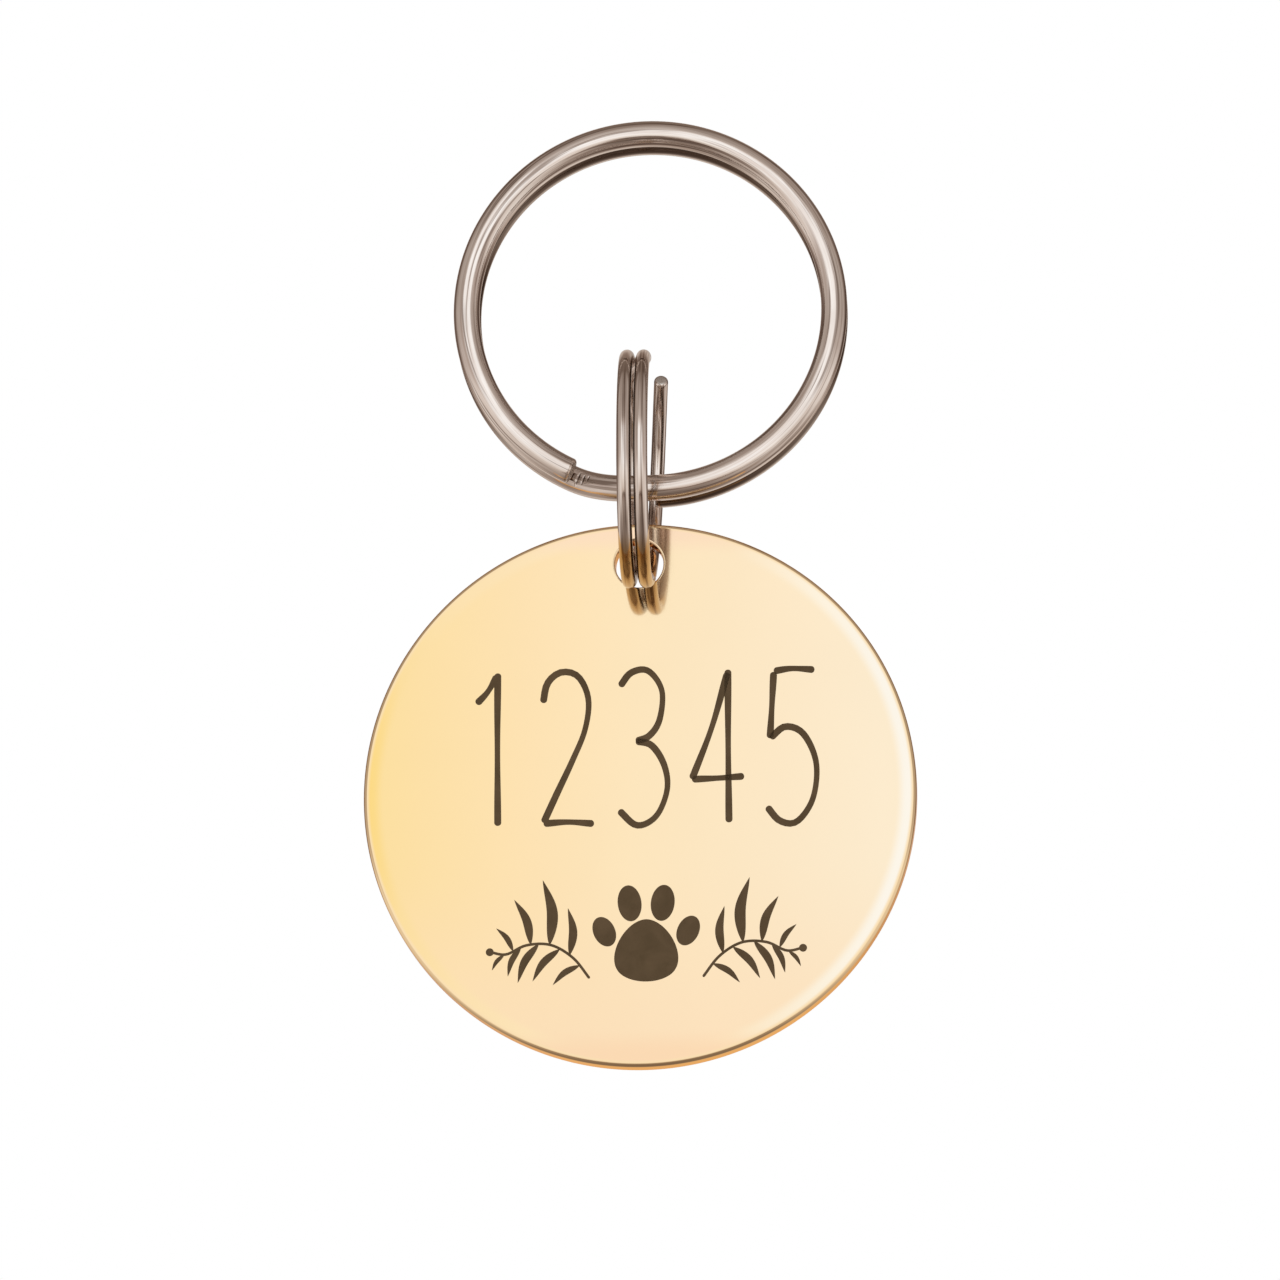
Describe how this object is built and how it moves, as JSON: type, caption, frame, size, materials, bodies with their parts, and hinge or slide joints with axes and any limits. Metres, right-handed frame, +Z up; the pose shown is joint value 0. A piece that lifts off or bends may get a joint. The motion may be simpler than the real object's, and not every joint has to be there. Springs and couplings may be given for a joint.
{
  "type": "pet id tag",
  "caption": "Thin round metal pet tag hanging by a hole near its rim on a small split ring, which is threaded on a larger split ring for a collar.",
  "frame": {"origin": "middle of the large split ring, half way between its two turns", "axes": "+Z up, with the tag hanging below the rings; -Y is the side that is read; +Y is the axis of the large ring, which lies in the XZ plane; +X is to the reader's right"},
  "size_m": [0.025, 0.0108, 0.0441],
  "materials": {
    "tag_metal": "mirror polished, pale rose gold",
    "small_ring_metal": "bright nickel plate",
    "large_ring_metal": "bright nickel plate"
  },
  "bodies": {
    "large_ring": {"large_split_ring": "large_ring_metal"},
    "small_ring": {"small_split_ring": "small_ring_metal"},
    "tag": {"tag_disc": "tag_metal"}
  },
  "joints": [
    {"name": "small_ring_swing", "type": "hinge", "parent": "large_ring", "child": "small_ring", "pos_m": [-0.0005, 0, -0.00839], "axis": [1, 0, 0], "range_deg": [-90, 90]},
    {"name": "tag_swing", "type": "hinge", "parent": "small_ring", "child": "tag", "pos_m": [-0.0005, -0.00007, -0.01192], "axis": [0.0262, 0.9995, 0.0174], "range_deg": [-15, 15]}
  ]
}
